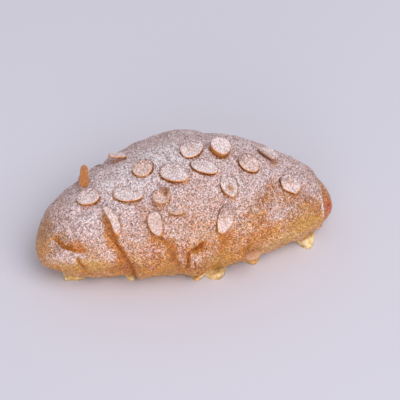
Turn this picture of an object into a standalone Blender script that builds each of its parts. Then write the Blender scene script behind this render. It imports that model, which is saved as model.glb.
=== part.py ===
"""Almond croissant: a rolled pastry, its almond cream and its sliced almonds.

Metres, +Z up. X runs along the croissant, -Y is its front, and it rests on z = 0.
"""

import math

import bmesh
import bpy
from mathutils import Matrix, Vector, noise
from mathutils.bvhtree import BVHTree

MM = 0.001
COLLECTION = "almond_croissant"
GAP = 0.3 * MM  # left open between pieces that touch

# --- the rolled pastry -------------------------------------------------------
LENGTH = 164 * MM
WIDTH = 86 * MM
HEIGHT = 59 * MM
AXIS_SHARE = 0.445  # height of the roll's axis, as a share of its height
BELLY_SHARE = 0.64  # a fuller curve below the axis, which the table cuts flat
CREST = 4 * MM  # the thickest place lies this far right of the middle
TIP_HEIGHT = 12 * MM  # the roll's axis at both tips
TIP_FORWARD = 7 * MM  # how far both tips bend to the front
TAPER_LEFT = 0.55
TAPER_RIGHT = 0.60
TAPER_POWER = 1.5
BLUNTNESS = 8  # a higher power makes blunter tips
TIP_ROUNDING = 0.45
OVER = 36  # sides of the roll above the table
UNDER = 10  # and across its underside
BASE_ANGLE_LIMIT = math.radians(60)  # below the axis, where the underside begins
WAVE = 1.1 * MM  # slow unevenness of the crust
WAVE_LENGTH = 24 * MM

# Each wrap of dough ends at a crease: its place along X, how far it swings round the
# roll, its step at the sides and on the top, and the rings up to the next crease.
# The outer wrap is always the one nearer to the middle.
WRAPS = (
    (-66 * MM, 2 * MM, 1.0 * MM, 0.5 * MM, 6),
    (-42 * MM, -10.7 * MM, 3.4 * MM, 1.1 * MM, 7),
    (-22 * MM, -16 * MM, 2.6 * MM, 0.6 * MM, 14),
    (12.5 * MM, 5.5 * MM, 1.4 * MM, 0.7 * MM, 11),
    (35 * MM, 16 * MM, 1.5 * MM, 0.9 * MM, 10),
    (73.5 * MM, 1 * MM, 2.2 * MM, 1.6 * MM, 5),
)
LEFT_TIP_RINGS = 7
SWING_PHASE = math.radians(-60)
STEP_RUN = 0.7 * MM  # half the width of a step
STEP_FADE = 9 * MM  # a lower wrap swells back to full size over this distance
LIP_SHARE = 0.2  # rise of the outer wrap's lip, as a share of the step
LIP_FADE = 4 * MM

# Dents (negative) and bumps: place along X, degrees round the roll from the front
# edge over the top, reach along X, reach in degrees, and height.
RELIEF = (
    (-71 * MM, 48, 5 * MM, 11, -1.7 * MM),  # fold that runs into the left tip
    (-63 * MM, 24, 5 * MM, 9, -2.2 * MM),
    (-62 * MM, 4, 5 * MM, 9, -1.6 * MM),
    (-3.5 * MM, 4, 5.5 * MM, 8, -2.8 * MM),  # pocket above the last flap of dough
    (-3.5 * MM, -16, 6 * MM, 10, 1.8 * MM),  # that flap
    (-1 * MM, -37, 5 * MM, 12, 2.4 * MM),  # and its end on the table
    (48 * MM, 39, 5.5 * MM, 12, -1.5 * MM),  # dimple near the right tip
    (49 * MM, 18, 8 * MM, 12, 1.0 * MM),
)

# --- the almond cream --------------------------------------------------------
CREAM_THICKNESS = 3.6 * MM
CREAM_HALF_LENGTH = 70 * MM
CREAM_INSET = 9 * MM  # from the pastry's own base edge
CREAM_CLEARANCE = 3 * MM  # the pastry's hollow is wider than the cream by this
HOLLOW_SLOPE = 3 * MM  # and slopes down to the table over this distance
CREAM_RINGS = 70
CREAM_AROUND = 14
LOBE_ROOM = 1.5 * MM  # between a lobe's top and the pastry's side over it

# Where the cream has run out: place along X, side (-1 front, 1 back), half width,
# how far it reaches from the roll's middle line, and its height there.
LOBES = (
    (-66.5 * MM, -1, 15 * MM, 13.4 * MM, 4.2 * MM),
    (-33.5 * MM, -1, 4.5 * MM, 26.3 * MM, 3.6 * MM),
    (-1 * MM, -1, 4.5 * MM, 36.5 * MM, 3.8 * MM),
    (9.5 * MM, -1, 9.5 * MM, 38 * MM, 5.5 * MM),
    (31.5 * MM, -1, 7 * MM, 30.7 * MM, 4.6 * MM),
    (65 * MM, -1, 8.5 * MM, 22.8 * MM, 6 * MM),
    (-47 * MM, 1, 5 * MM, 23 * MM, 3.6 * MM),
    (-10 * MM, 1, 7 * MM, 36 * MM, 5 * MM),
    (38 * MM, 1, 6 * MM, 27 * MM, 4.4 * MM),
)

# --- the sliced almonds ------------------------------------------------------
SLICE_SIDES = 14
SLICE_TAPER = 0.16  # how much narrower a slice is towards its tip
SLICE_RIM = 0.92  # both faces are this share of the slice's outline
SLICE_SEAT_ROOM = 0.1 * MM
SEATING_STEPS = 8
SEAT_REACH = 5 * MM  # a slice lies along the crust's mean slope this far round it
SEAT_SPREAD = math.radians(8)
SEAT_PATTERN = ((-1, 0), (-0.5, 0), (0, 0), (0.5, 0), (1, 0), (0, -1), (0, 1))

# Each slice: its middle along X, degrees round the roll, length, width, turn on the
# crust from +X in degrees, lift of its front side and of its right end in degrees,
# how much it bows along its length, and its thickness.
THIN = 1.1 * MM
SLICES = (
    (-50.2 * MM, 99, 13.5 * MM, 5 * MM, 90, -84, -24, 0.3 * MM, 1.4 * MM),
    (-51.3 * MM, 82, 13.5 * MM, 10.5 * MM, -36, -4, 0, 0.5 * MM, THIN),
    (-31.5 * MM, 113, 10 * MM, 7 * MM, -20, 4, -22, 0.6 * MM, THIN),
    (-32 * MM, 68, 17.5 * MM, 11.5 * MM, -30, 3, 0, 0.6 * MM, THIN),
    (-21.5 * MM, 87, 11.5 * MM, 10.5 * MM, 40, -10, -6, 0.3 * MM, THIN),
    (-7 * MM, 73, 17.5 * MM, 11 * MM, -46, 3, 0, 0.6 * MM, THIN),
    (6 * MM, 92, 15 * MM, 10.5 * MM, 34, -12, 0, 0.4 * MM, THIN),
    (9 * MM, 74, 15.5 * MM, 9.5 * MM, -28, 2, 0, 0.6 * MM, THIN),
    (21.5 * MM, 95, 11.5 * MM, 11.5 * MM, -60, -20, 0, 0.3 * MM, 2.6 * MM),
    (33.8 * MM, 78, 12.5 * MM, 11 * MM, -65, -12, 0, 0.4 * MM, THIN),
    (47 * MM, 91, 13 * MM, 8 * MM, -58, 9, 4, 0.6 * MM, THIN),
    (19.4 * MM, 57, 15.5 * MM, 9 * MM, -90, 4, 0, 0.4 * MM, THIN),
    (54.5 * MM, 59, 12.5 * MM, 11 * MM, -65, -4, 0, 0.6 * MM, THIN),
    (-42.7 * MM, 49, 18 * MM, 6 * MM, -76, 0, 0, 1.2 * MM, THIN),
    (-21.8 * MM, 36, 13.5 * MM, 7.5 * MM, -84, 0, 6, 0.5 * MM, THIN),
    (13 * MM, 29, 16 * MM, 8.5 * MM, 60, 0, 5, 0.5 * MM, THIN),
    (-16.2 * MM, 57, 10.5 * MM, 9 * MM, 35, 8, 0, -1.6 * MM, THIN),
    (-10.4 * MM, 45, 10.5 * MM, 8 * MM, -35, 5, 0, 0.3 * MM, THIN),
    (27.8 * MM, -14, 9.5 * MM, 5.5 * MM, 6, 96, 0, 0.5 * MM, THIN),
    (-60 * MM, 177, 12 * MM, 9 * MM, 30, 4, 0, 0.5 * MM, THIN),
    (-36 * MM, 194, 15 * MM, 10 * MM, 25, 4, 0, 0.5 * MM, THIN),
    (-42 * MM, 162, 15 * MM, 9.5 * MM, -75, 4, 0, 0.5 * MM, THIN),
    (-15 * MM, 158, 16 * MM, 10 * MM, 20, 4, 0, 0.4 * MM, THIN),
    (-10 * MM, 187, 13 * MM, 9.5 * MM, -35, 4, 0, 0.5 * MM, THIN),
    (6 * MM, 170, 15 * MM, 10.5 * MM, 70, 4, 0, 0.5 * MM, THIN),
    (28 * MM, 159, 15 * MM, 10 * MM, -20, 4, 0, 0.5 * MM, THIN),
    (52 * MM, 173, 12 * MM, 9 * MM, 50, 4, 0, 0.4 * MM, THIN),
)


def lerp(a, b, share):
    return a + (b - a) * share


def taper(x):
    """The roll's thickness at x as a share of its greatest thickness."""
    half = LENGTH / 2
    reach = (x - CREST) / (half - CREST if x > CREST else half + CREST)
    reach = min(1.0, abs(reach))
    slope = TAPER_RIGHT if x > CREST else TAPER_LEFT
    spindle = 1 - slope * reach**TAPER_POWER
    return spindle * (1 - reach**BLUNTNESS) ** TIP_ROUNDING


def axis_y(x):
    return -TIP_FORWARD * (2 * x / LENGTH) ** 2


def axis_z(x):
    return lerp(TIP_HEIGHT, AXIS_SHARE * HEIGHT, taper(x))


def crease_x(index, around):
    """Place along X of crease 1 to 6 at an angle round the roll; 0 and 7 are tips."""
    if index == 0:
        return -LENGTH / 2
    if index > len(WRAPS):
        return LENGTH / 2
    place, swing = WRAPS[index - 1][:2]
    return place - swing * math.cos(around - SWING_PHASE)


def ring_stations():
    """One (crease index, share of the way to the next crease) for each ring."""
    stations = []
    counts = [LEFT_TIP_RINGS] + [wrap[4] for wrap in WRAPS]
    for index, count in enumerate(counts):
        length = crease_x(index + 1, math.pi / 2) - crease_x(index, math.pi / 2)
        edge = STEP_RUN / length
        for step in range(count):
            if index == 0:  # rings crowd towards the round tip
                share = (1 - math.cos((step + 1) / count * math.pi / 2)) * (1 - edge)
            elif index == len(WRAPS):
                share = edge + (1 - edge) * math.sin(step / count * math.pi / 2)
            else:
                share = lerp(edge, 1 - edge, step / (count - 1))
            stations.append((index, share))
    return stations


def wrap_relief(index, share, around):
    """Step down from each outer wrap to the inner one, and the outer wrap's lip."""
    x = lerp(crease_x(index, around), crease_x(index + 1, around), share)
    side = abs(math.cos(around))
    height = 0.0
    for crease in (index, index + 1):
        if not 1 <= crease <= len(WRAPS):
            continue
        place, _, at_side, on_top, _ = WRAPS[crease - 1]
        step = lerp(on_top, at_side, side)
        distance = abs(x - crease_x(crease, around))
        outer = (crease == index) == (place < 0)
        if outer:
            height += LIP_SHARE * step * math.exp(-distance / LIP_FADE)
        else:
            height -= step * math.exp(-distance / STEP_FADE)
    return height


def local_relief(x, around):
    """Folds, pockets and dimples that belong to one place only."""
    height = 0.0
    for place, degrees, reach, spread, rise in RELIEF:
        turn = math.remainder(around - math.radians(degrees), math.tau)
        far = ((x - place) / reach) ** 2 + (turn / math.radians(spread)) ** 2
        height += rise * math.exp(-far)
    return height


def crust_point(index, share, around):
    """A point of the pastry's outside. The angle runs from the front over the top."""
    x = lerp(crease_x(index, around), crease_x(index + 1, around), share)
    size = taper(x)
    outward = Vector((0, -math.cos(around), math.sin(around)))
    half_width = WIDTH / 2 * size
    half_height = HEIGHT * size * (1 - AXIS_SHARE if outward.z > 0 else BELLY_SHARE)
    point = Vector((x, axis_y(x), axis_z(x)))
    point += Vector((0, outward.y * half_width, outward.z * half_height))
    rise = wrap_relief(index, share, around) + local_relief(x, around)
    rise += WAVE * noise.noise(point / WAVE_LENGTH)
    point += outward * rise * min(1.0, size / 0.4)
    point.z = max(point.z, hollow_height(point.x, point.y))
    return point


def base_angle(index, share, around):
    """How far below the axis a ring's side meets the table."""
    x = lerp(crease_x(index, around), crease_x(index + 1, around), share)
    sink = axis_z(x) / (BELLY_SHARE * HEIGHT * taper(x))
    return min(math.asin(min(1.0, sink)), BASE_ANGLE_LIMIT)


def column_angle(index, share, column):
    """The angle of each point of a ring: one column runs along each base edge."""
    front = -base_angle(index, share, 0)
    back = math.pi + base_angle(index, share, math.pi)
    if column <= OVER:
        return lerp(front, back, column / OVER)
    return lerp(back, front + math.tau, (column - OVER) / UNDER)


def base_edge(x, side):
    """The y of the edge where the pastry's side meets the table."""
    half_width = WIDTH / 2 * taper(x)
    half_height = BELLY_SHARE * HEIGHT * taper(x)
    sink = axis_z(x) / half_height if half_height else 1.0
    return axis_y(x) + side * half_width * math.sqrt(max(0.1, 1 - sink**2))


def cream_edge(x, side, clearance=0.0):
    """The y of the cream's own edge, with its lobes, at a place along X."""
    edge = base_edge(x, side) - side * CREAM_INSET
    edge = side * max(side * edge, side * axis_y(x) + 2 * MM)
    for place, lobe_side, half_width, reach, _ in LOBES:
        offset = abs(x - place) / (half_width + clearance)
        if lobe_side == side and offset < 1:
            far = axis_y(place) + side * reach
            edge = lerp(edge, far, math.cos(offset * math.pi / 2) ** 0.6)
    return edge + side * clearance


def hollow_height(x, y):
    """How far the cream holds the pastry's underside off the table."""
    inside = min(
        y - cream_edge(x, -1, CREAM_CLEARANCE),
        cream_edge(x, 1, CREAM_CLEARANCE) - y,
        CREAM_HALF_LENGTH + CREAM_CLEARANCE - abs(x),
    )
    share = max(0.0, min(1.0, 1 + inside / HOLLOW_SLOPE))
    return share * (CREAM_THICKNESS + GAP)


def mesh_object(name, bm, collection, material):
    if bm.calc_volume(signed=True) < 0:
        bmesh.ops.reverse_faces(bm, faces=bm.faces)
    mesh = bpy.data.meshes.new(name)
    bm.to_mesh(mesh)
    bm.free()
    mesh.shade_smooth()
    mesh.materials.append(material)
    thing = bpy.data.objects.new(name, mesh)
    collection.objects.link(thing)
    return thing


def pastry_mesh():
    """A sphere with its poles at the tips, reshaped ring by ring."""
    stations = ring_stations()
    rings = len(stations) + 1
    bm = bmesh.new()
    sides = OVER + UNDER
    bmesh.ops.create_uvsphere(bm, u_segments=sides, v_segments=rings, radius=1)
    for vert in bm.verts:
        ring = round(math.acos(max(-1, min(1, -vert.co.z))) / math.pi * rings)
        if ring in (0, rings):
            x = math.copysign(LENGTH / 2, ring - 1)
            vert.co = (x, axis_y(x), TIP_HEIGHT)
            continue
        station = stations[ring - 1]
        column = round(math.atan2(vert.co.y, vert.co.x) / math.tau * sides) % sides
        vert.co = crust_point(*station, column_angle(*station, column))
    return bm


def cream_ceiling(x, y):
    """The height of the pastry's side above a point beside its base."""
    size = taper(x)
    share = min(1.0, abs(y - axis_y(x)) / (WIDTH / 2 * size))
    return axis_z(x) - BELLY_SHARE * HEIGHT * size * math.sqrt(1 - share**2)


def cream_height(x, y, side):
    """Even under the pastry, and swollen where a lobe comes out beside it."""
    height = CREAM_THICKNESS
    for place, lobe_side, half_width, _, lobe_height in LOBES:
        offset = abs(x - place) / half_width
        if lobe_side == side and offset < 1:
            free = cream_ceiling(x, y) - LOBE_ROOM
            rise = min(lobe_height - CREAM_THICKNESS, free - CREAM_THICKNESS)
            height += max(0.0, rise) * math.cos(offset * math.pi / 2)
    return height


def cream_mesh():
    """A sphere with its poles at the layer's ends, pressed into a thin layer."""
    bm = bmesh.new()
    bmesh.ops.create_uvsphere(
        bm, u_segments=CREAM_AROUND, v_segments=CREAM_RINGS, radius=1
    )
    for vert in bm.verts:
        ring = round(math.acos(max(-1, min(1, -vert.co.z))) / math.pi * CREAM_RINGS)
        x = CREAM_HALF_LENGTH * (2 * ring / CREAM_RINGS - 1)
        around = math.atan2(vert.co.y, vert.co.x)
        front, back = cream_edge(x, -1), cream_edge(x, 1)
        if ring in (0, CREAM_RINGS):
            vert.co = (x, axis_y(x), CREAM_THICKNESS / 2)
            continue
        y = lerp(front, back, (1 - math.cos(around)) / 2)
        top = cream_height(x, y, -1 if y < axis_y(x) else 1)
        vert.co = (x, y, top * max(0.0, math.sin(around)) ** 0.5)
    return bm


def slice_mesh(length, width, bow, thickness):
    """A thin pip-shaped slice, lying flat and bowed along its length."""
    bm = bmesh.new()
    bmesh.ops.create_uvsphere(bm, u_segments=SLICE_SIDES, v_segments=4, radius=1)
    for vert in bm.verts:
        level = round(vert.co.z / math.sin(math.pi / 4), 3)
        pole = vert.co.xy.length < 0.01
        around = math.atan2(vert.co.y, vert.co.x)
        share = 0.0 if pole else 1.0 if abs(level) < 0.01 else SLICE_RIM
        x = length / 2 * share * math.cos(around)
        y = width / 2 * share * math.sin(around) * (1 - SLICE_TAPER * math.cos(around))
        z = math.copysign(thickness / 2, level) if share < 1.0 else 0.0
        vert.co = (x, y, z - bow * ((2 * x / length) ** 2 - 0.5))
    return bm


def crust_hit(x, around, crust):
    """The crust's point and normal at a place along X and an angle round the roll."""
    inside = Vector((x, axis_y(x), axis_z(x)))
    upper = math.sin(around) > 0
    half_height = HEIGHT * (1 - AXIS_SHARE if upper else BELLY_SHARE)
    outward = (0, -WIDTH / 2 * math.cos(around), half_height * math.sin(around))
    return crust.ray_cast(inside, Vector(outward))[:2]


def crust_frame(x, around, crust):
    """The crust's point at a place, and the axes along it, across it and outwards."""
    point = crust_hit(x, around, crust)[0]
    nearby = [(x + SEAT_REACH * i, around + SEAT_SPREAD * j) for i, j in SEAT_PATTERN]
    normal = sum((crust_hit(*place, crust)[1] for place in nearby), Vector()).normalized()
    along = (Vector((1, 0, 0)) - normal * normal.x).normalized()
    return point, along, normal.cross(along), normal


def clearance(mesh, matrix, crust):
    """The least distance from a slice's points and faces to the crust."""
    places = [matrix @ vert.co for vert in mesh.vertices]
    places += [matrix @ face.center for face in mesh.polygons]
    least = math.inf
    for place in places:
        nearest, normal, _, distance = crust.find_nearest(place)
        outside = (place - nearest).dot(normal) >= 0
        least = min(least, distance if outside else -distance)
    return least


def seat_slice(thing, row, crust):
    """Turns and tips a slice, then moves it along the crust's normal to lie on it."""
    x, degrees, _, _, turn, front_lift, end_lift, _, lift = row
    point, along, across, normal = crust_frame(x, math.radians(degrees), crust)
    lay = Matrix((along, across, normal)).transposed()
    tip = Matrix.Rotation(math.radians(-front_lift), 3, "X")
    tip = Matrix.Rotation(math.radians(-end_lift), 3, "Y") @ tip
    spin = Matrix.Rotation(math.radians(turn), 3, "Z")
    rotation = (lay @ tip @ spin).to_4x4()
    for _ in range(SEATING_STEPS):
        matrix = Matrix.Translation(point + normal * lift) @ rotation
        lift += GAP + SLICE_SEAT_ROOM - clearance(thing.data, matrix, crust)
    thing.location = point + normal * lift
    thing.rotation_euler = rotation.to_euler()


def clear_scene():
    for thing in list(bpy.data.objects):
        bpy.data.objects.remove(thing, do_unlink=True)


def crust_material():
    return plain_material("crust", (0.62, 0.36, 0.17), 0.6)


def cream_material():
    return plain_material("almond_cream", (0.72, 0.52, 0.16), 0.35)


def slice_material():
    return plain_material("sliced_almond", (0.82, 0.66, 0.50), 0.55)


def plain_material(name, colour, roughness):
    material = bpy.data.materials.new(name)
    material.use_nodes = True
    shader = material.node_tree.nodes["Principled BSDF"]
    shader.inputs["Base Color"].default_value = (*colour, 1)
    shader.inputs["Roughness"].default_value = roughness
    shader.inputs["Metallic"].default_value = 0.0
    return material


def add_slices(collection, pastry):
    material = slice_material()
    crust = BVHTree.FromObject(pastry, bpy.context.evaluated_depsgraph_get())
    slices = []
    for number, row in enumerate(SLICES, start=1):
        bm = slice_mesh(row[2], row[3], row[7], row[8])
        name = f"almond_slice_{number:02d}"
        thing = mesh_object(name, bm, collection, material)
        seat_slice(thing, row, crust)
        slices.append(thing)
    return slices


def centre_on_origin(pieces):
    """Parents every piece to one empty, which brings the whole over the origin."""
    bpy.context.view_layer.update()
    corners = [p.matrix_world @ v.co for p in pieces for v in p.data.vertices]
    base = bpy.data.objects.new("base_centre", None)
    pieces[0].users_collection[0].objects.link(base)
    for piece in pieces:
        piece.parent = base
    for axis in (0, 1):
        low = min(corner[axis] for corner in corners)
        high = max(corner[axis] for corner in corners)
        base.location[axis] = -(low + high) / 2
    bpy.context.view_layer.update()


def main():
    clear_scene()
    collection = bpy.data.collections.new(COLLECTION)
    bpy.context.scene.collection.children.link(collection)
    pastry = mesh_object("pastry", pastry_mesh(), collection, crust_material())
    cream = mesh_object("almond_cream", cream_mesh(), collection, cream_material())
    slices = add_slices(collection, pastry)
    centre_on_origin([pastry, cream, *slices])


main()
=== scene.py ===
# %% [markdown]
# # An almond croissant
#
# A croissant is a long triangle of layered dough, rolled up from its wide end and baked.
# Bakers split yesterday's ones, fill them with almond cream, press sliced almonds on top,
# bake them again and dust them with icing sugar. This lesson builds one of those over its
# CAD solids: first the camera and the light, then the crust, the cream, the almonds and
# the sugar. Everything is in metres, +Z up, and the front of the croissant faces -Y. The
# tables hold mm, which `metres` turns into metres.

# %% Load the frame
import math
import random

import bmesh
import bpy
import numpy as np
from mathutils import Matrix, Vector, noise
from mathutils.bvhtree import BVHTree


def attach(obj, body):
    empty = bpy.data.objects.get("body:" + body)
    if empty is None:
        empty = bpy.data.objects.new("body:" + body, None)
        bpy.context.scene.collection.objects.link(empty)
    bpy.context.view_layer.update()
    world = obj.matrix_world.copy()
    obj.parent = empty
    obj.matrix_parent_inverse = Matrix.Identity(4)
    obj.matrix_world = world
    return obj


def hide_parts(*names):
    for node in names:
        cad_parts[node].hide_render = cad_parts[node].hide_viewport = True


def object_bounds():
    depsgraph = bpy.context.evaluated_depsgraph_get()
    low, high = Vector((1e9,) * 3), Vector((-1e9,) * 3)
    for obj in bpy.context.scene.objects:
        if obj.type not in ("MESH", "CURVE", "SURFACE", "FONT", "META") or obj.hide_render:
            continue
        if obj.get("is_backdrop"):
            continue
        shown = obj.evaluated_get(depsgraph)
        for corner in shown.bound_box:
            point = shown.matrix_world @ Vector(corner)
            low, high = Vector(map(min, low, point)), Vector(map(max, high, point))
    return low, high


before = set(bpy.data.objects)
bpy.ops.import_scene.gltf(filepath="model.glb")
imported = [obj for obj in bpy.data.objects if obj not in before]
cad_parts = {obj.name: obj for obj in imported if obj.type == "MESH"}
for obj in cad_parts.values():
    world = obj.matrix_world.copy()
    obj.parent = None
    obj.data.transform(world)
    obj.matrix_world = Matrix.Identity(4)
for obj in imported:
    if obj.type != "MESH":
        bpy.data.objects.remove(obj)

cad_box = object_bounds()
MM = 0.001
scene = bpy.context.scene
scene.view_settings.view_transform = "Standard"


def metres(rows, *lengths):
    """A table's rows with the columns that are lengths turned from mm into metres."""
    return [
        tuple(value * MM if column in lengths else value for column, value in enumerate(row))
        for row in rows
    ]


def add_object(name, data):
    thing = bpy.data.objects.new(name, data)
    scene.collection.objects.link(thing)
    return thing


print("CAD box in mm:", [[round(v / MM, 1) for v in corner] for corner in cad_box])

# %% [markdown]
# ## The camera
#
# The photo looks down at 42 degrees from a little left of straight ahead, through a long
# lens: both tips look equally large. A camera that far away needs a narrow angle, so the
# lens is worked out from how many metres one pixel covers at the croissant.

# %% Place the camera
AZIMUTH = math.radians(-14.5)
ELEVATION = math.radians(42)
DISTANCE = 0.95
PIXEL = 0.549 * MM  # covered by one pixel
ORIGIN_RIGHT = -17.3  # where the frame's origin is in the picture, in pixels
ORIGIN_UP = -35.0
PICTURE = 400  # pixels across
SENSOR = 36

back = Vector((
    math.sin(AZIMUTH) * math.cos(ELEVATION),
    -math.cos(AZIMUTH) * math.cos(ELEVATION),
    math.sin(ELEVATION),
))
right = Vector((math.cos(AZIMUTH), math.sin(AZIMUTH), 0))
up = back.cross(right)
target = -(right * ORIGIN_RIGHT + up * ORIGIN_UP) * PIXEL
camera = add_object("camera", bpy.data.cameras.new("camera"))
camera.location = target + back * DISTANCE
camera.rotation_euler = back.to_track_quat("Z", "Y").to_euler()
camera.data.sensor_width = SENSOR
camera.data.lens = SENSOR * DISTANCE / (PICTURE * PIXEL)
camera.data.clip_start = 0.01
scene.camera = camera
print("camera", [round(v, 3) for v in camera.location], "lens", round(camera.data.lens))

# %% [markdown]
# ## Shader maths as plain expressions
#
# A material is a small program of nodes. Wiring Math nodes by hand hides the sum that they
# make, so `Value` wraps one socket and lets Python's own +, - and * add the nodes.
# `Finish` holds one material, and its method `node` adds every other node.

# %% One shader value
class Value:
    """One shader value. Sums and products of values add Math nodes."""

    def __init__(self, finish, socket):
        self.finish = finish
        self.socket = socket

    def maths(self, operation, *terms, clamp=False):
        settings = {"operation": operation, "use_clamp": clamp}
        return self.finish.node("Math", settings, dict(enumerate(terms)))

    def __add__(self, other):
        return self.maths("ADD", self, other)

    def __mul__(self, other):
        return self.maths("MULTIPLY", self, other)

    def __sub__(self, other):
        return self.maths("SUBTRACT", self, other)

    def __rsub__(self, other):
        return self.maths("SUBTRACT", other, self)

    __radd__ = __add__
    __rmul__ = __mul__

    def clamp(self):
        return self.maths("ADD", self, 0.0, clamp=True)

    def step(self, low, high):
        """0 below low, 1 above high and a smooth rise between them."""
        settings = {"interpolation_type": "SMOOTHSTEP"}
        sockets = {"Value": self, "From Min": low, "From Max": high}
        return self.finish.node("MapRange", settings, sockets)


print("a value can also be", [name for name in vars(Value) if name[0] != "_"])


# %% One finish
class Finish:
    """A material made of a Principled BSDF and the nodes that feed it."""

    def __init__(self, name, **constants):
        self.material = bpy.data.materials.new(name)
        self.material.use_nodes = True
        self.tree = self.material.node_tree
        self.shader = self.tree.nodes["Principled BSDF"]
        for socket, value in constants.items():
            self.shader.inputs[socket.replace("_", " ")].default_value = value

    def node(self, kind, settings, sockets, output=None):
        """Adds a node: its settings first, then its sockets' values or links."""
        node = self.tree.nodes.new("ShaderNode" + kind)
        for key, value in settings.items():
            setattr(node, key, value)
        for key, value in sockets.items():
            self.feed(node.inputs[key], value)
        shown = [socket for socket in node.outputs if socket.enabled]
        return Value(self, node.outputs[output] if output else shown[0])

    def feed(self, socket, value):
        if isinstance(value, Value):
            self.tree.links.new(value.socket, socket)
        elif socket.type == "RGBA":
            socket.default_value = (*value[:3], 1)
        else:
            socket.default_value = value

    def paint(self, socket, value):
        self.feed(self.shader.inputs[socket], value)

    def places(self):
        return self.node("TexCoord", {}, {}, "Object")

    def channels(self, colour):
        """The red, green and blue of a colour, one by one."""
        red = self.node("SeparateColor", {}, {"Color": colour})
        return [Value(self, part) for part in red.socket.node.outputs]

    def stored(self, name):
        """The three numbers that the mesh keeps for each of its points."""
        settings = {"attribute_type": "GEOMETRY", "attribute_name": name}
        return self.channels(self.node("Attribute", settings, {}, "Color"))

    def grain(self, size, detail=2.0, roughness=0.5, stretch=(1, 1, 1)):
        """Noise whose lumps are about this size in metres, from 0 to 1."""
        scale = [1 / (size * s) for s in stretch]
        places = self.node("Mapping", {}, {"Vector": self.places(), "Scale": scale})
        sockets = {"Vector": places, "Scale": 1.0, "Detail": detail, "Roughness": roughness}
        return self.node("TexNoise", {}, sockets, "Fac")

    def mix(self, factor, low, high):
        """A colour between two colours."""
        settings = {"data_type": "RGBA", "clamp_factor": True}
        return self.node("Mix", settings, {0: factor, 6: low, 7: high}, 2)

    def coats(self, colour, *layers):
        """A colour with others laid over it, each as far as its own mask says."""
        for mask, over in layers:
            colour = self.mix(mask, colour, over)
        return colour

    def scaled(self, colour, factor, most=0.93):
        """A colour made lighter or darker, but never brighter than white powder."""
        lit = self.node("VectorMath", {"operation": "SCALE"}, {0: colour, "Scale": factor})
        return self.node("VectorMath", {"operation": "MINIMUM"}, {0: lit, 1: (most,) * 3})

    def bump(self, height, distance, strength=1.0, normal=None):
        sockets = {"Height": height, "Distance": distance, "Strength": strength}
        if normal:
            sockets["Normal"] = normal
        return self.node("Bump", {}, sockets)


def srgb(red, green, blue):
    """A colour as a screen shows it, 0 to 255, turned into light."""
    parts = [v / 255 for v in (red, green, blue)]
    return [p / 12.92 if p <= 0.04045 else ((p + 0.055) / 1.055) ** 2.4 for p in parts]


print("a middling grey on the screen is", round(srgb(128, 128, 128)[0], 2), "in light")

# %% [markdown]
# ## The table and the light
#
# The photo has a pale lavender table under very soft light, with one faint shadow at the
# left tip. A large window high in front on the right gives that shadow, a low reflector
# lights the front of the base, and an even world fills the rest the way a white room does.

# %% Make the table, the world and the lamps
TABLE_HALF = 6.0
floor_mesh = bmesh.new()
bmesh.ops.create_grid(floor_mesh, x_segments=1, y_segments=1, size=TABLE_HALF)
table_top = bpy.data.meshes.new("table_top")
floor_mesh.to_mesh(table_top)
floor_mesh.free()
floor = add_object("floor", table_top)
floor.location.z = -0.1 * MM
table_finish = Finish("table", Roughness=0.7)
table_finish.paint("Base Color", srgb(220, 218, 233))
table_top.materials.append(table_finish.material)
floor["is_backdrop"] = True

world = bpy.data.worlds.new("room")
world.use_nodes = True
scene.world = world
sky = world.node_tree.nodes["Background"]
sky.inputs["Color"].default_value = (0.98, 0.98, 1.0, 1)
sky.inputs["Strength"].default_value = 0.47

# name, direction it comes from (right, front, up), distance, width, watts
LAMPS = (
    ("window", (0.5, 0.7, 1.1), 2.5, 2.0, 35),
    ("reflector", (-0.4, 1.0, 0.35), 2.5, 1.6, 20),
)
for name, direction, distance, width, watts in LAMPS:
    lamp = bpy.data.lights.new(name, "AREA")
    lamp.size = width
    lamp.energy = watts
    lamp.color = (1.0, 0.98, 0.95)
    holder = add_object(name, lamp)
    towards = Vector((direction[0], -direction[1], direction[2])).normalized()
    holder.location = towards * distance
    holder.rotation_euler = towards.to_track_quat("Z", "Y").to_euler()
print("table, room light and", len(LAMPS), "lamps")

# %% [markdown]
# ## The roll's shape
#
# The roll is a spindle: thickest a little right of its middle, tapering to two blunt tips
# that bend forwards. Each turn of the dough ends at a crease that winds round the roll,
# and the wrap nearer the middle lies on top of the next one. A few functions of the place
# along the roll and the angle round it hold all of that; they are the same ones that made
# the CAD solid, so the fine crust follows it.

# %% Measures of the roll
LENGTH = 164 * MM
WIDTH = 86 * MM
HEIGHT = 59 * MM
AXIS_SHARE = 0.445
BELLY_SHARE = 0.64
CREST = 4 * MM
TIP_HEIGHT = 12 * MM
TIP_FORWARD = 7 * MM
TAPER_LEFT = 0.55
TAPER_RIGHT = 0.60
TAPER_POWER = 1.5
BLUNTNESS = 8
TIP_ROUNDING = 0.45
SWING_PHASE = math.radians(-60)
BASE_ANGLE_LIMIT = math.radians(60)
FULL_RELIEF = 0.4  # the relief fades where the roll is thinner than this share

# Each crease: its place, how far it swings round the roll, its step at the sides and on
# top, how many degrees up the sides it gapes, and how widely
CREASES = metres((
    (-66, 2, 1.0, 0.5, 0, 0.0),
    (-42, -10.7, 3.4, 1.1, 50, 1.0),
    (-22, -16, 2.6, 0.6, 36, 0.6),
    (12.5, 5.5, 1.4, 0.7, 20, 0.4),
    (35, 16, 1.5, 0.9, 5, 0.3),
    (73.5, 1, 2.2, 1.6, 80, 1.0),
), 0, 1, 2, 3)

# The CAD brings the whole over the origin, so the roll's own middle line lies beside it
cad_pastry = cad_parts["pastry"]
tip = max((v.co for v in cad_pastry.data.vertices), key=lambda co: co.x)
SHIFT = Vector((tip.x - LENGTH / 2, tip.y + TIP_FORWARD, 0))
print("the roll is shifted by", [round(v / MM, 2) for v in SHIFT], "mm")


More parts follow.
